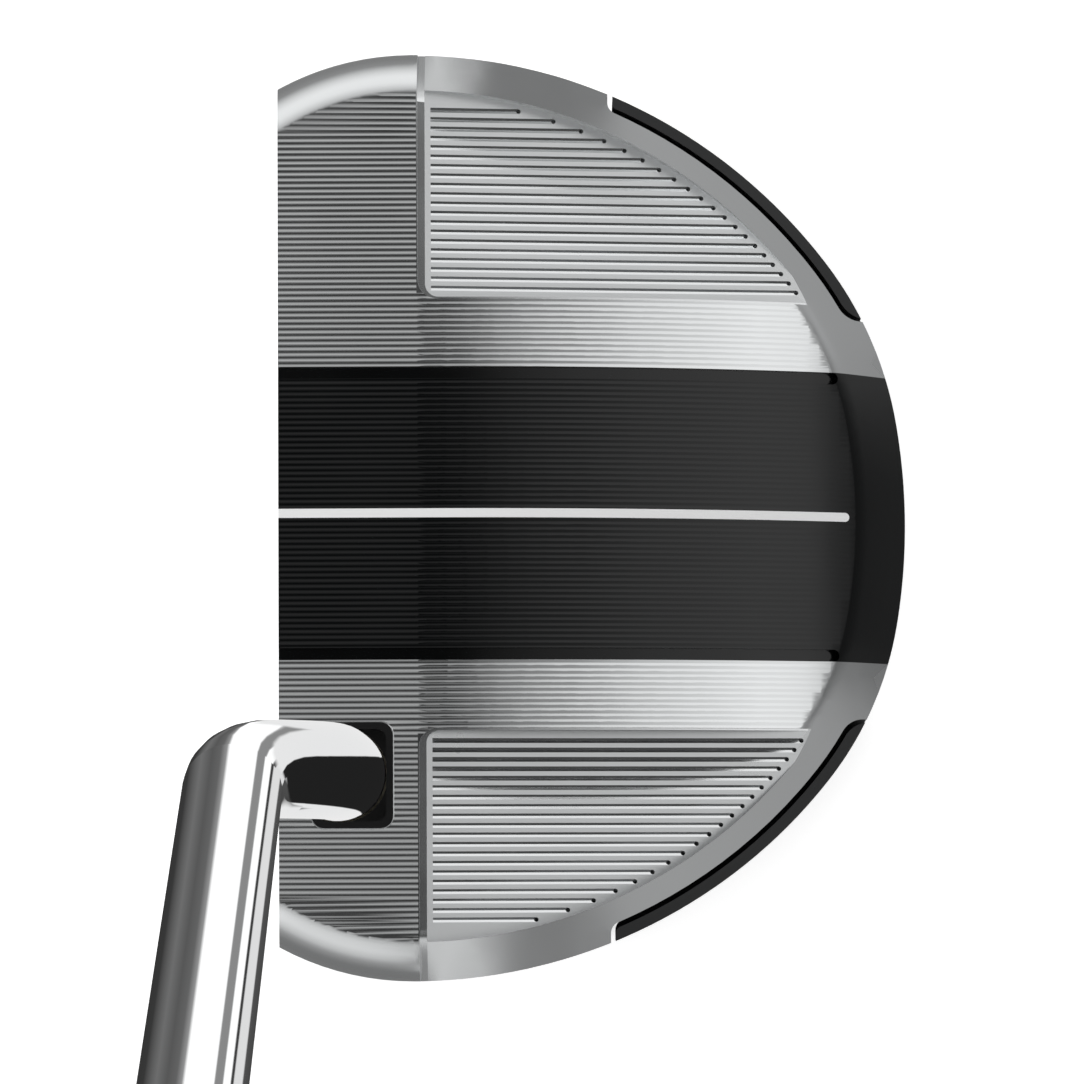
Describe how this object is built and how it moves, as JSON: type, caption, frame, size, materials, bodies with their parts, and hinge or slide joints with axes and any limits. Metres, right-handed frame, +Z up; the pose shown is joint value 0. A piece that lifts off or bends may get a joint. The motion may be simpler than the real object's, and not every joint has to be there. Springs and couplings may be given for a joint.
{
  "type": "mallet putter",
  "caption": "Golf putter with a semicircular milled mallet head, black centre band and alignment line, double-bend chrome shaft and rubber grip.",
  "frame": {"origin": "middle of the flat of the sole, on the ground plane at address, under the alignment line", "axes": "+Z up at address, -Y the target direction that the face looks in, +X towards the heel and the player"},
  "size_m": [0.3588, 0.0792, 0.8159],
  "materials": {
    "satin_silver": "milled and bead-blasted satin",
    "black_anodised": "milled, satin black anodised",
    "bond_film": "cured adhesive",
    "white_paint": "smooth white fill",
    "black_rubber": "satin black elastomer",
    "face_metal": "milled, grooved dark grey",
    "black_polymer": "moulded black",
    "chrome_steel": "polished chrome plate",
    "tape": "paper tape",
    "grip_rubber": "textured black rubber",
    "cap_rubber": "moulded dark grey rubber",
    "brushed_plate": "brushed",
    "black_screws": "black oxide",
    "damper": "soft elastomer",
    "weight_steel": "turned heavy metal"
  },
  "bodies": {
    "root": {"head_body": "satin_silver", "centre_band": "black_anodised", "centre_band_bond": "bond_film", "alignment_line": "white_paint", "heel_edge_strip": "black_rubber", "toe_edge_strip": "black_rubber", "face_insert": "face_metal", "face_insert_tape": "bond_film", "shaft_collar": "black_polymer", "shaft_bond": "bond_film", "shaft_tube": "chrome_steel", "shaft_tip_plug": "black_polymer", "grip_tape": "tape", "grip_sleeve": "grip_rubber", "grip_end_cap": "cap_rubber", "sole_plate": "brushed_plate", "sole_plate_screws": "black_screws", "damping_block": "damper", "balance_bar": "weight_steel", "toe_weight": "weight_steel", "heel_weight": "weight_steel", "weight_seals": "black_rubber"}
  },
  "joints": []
}
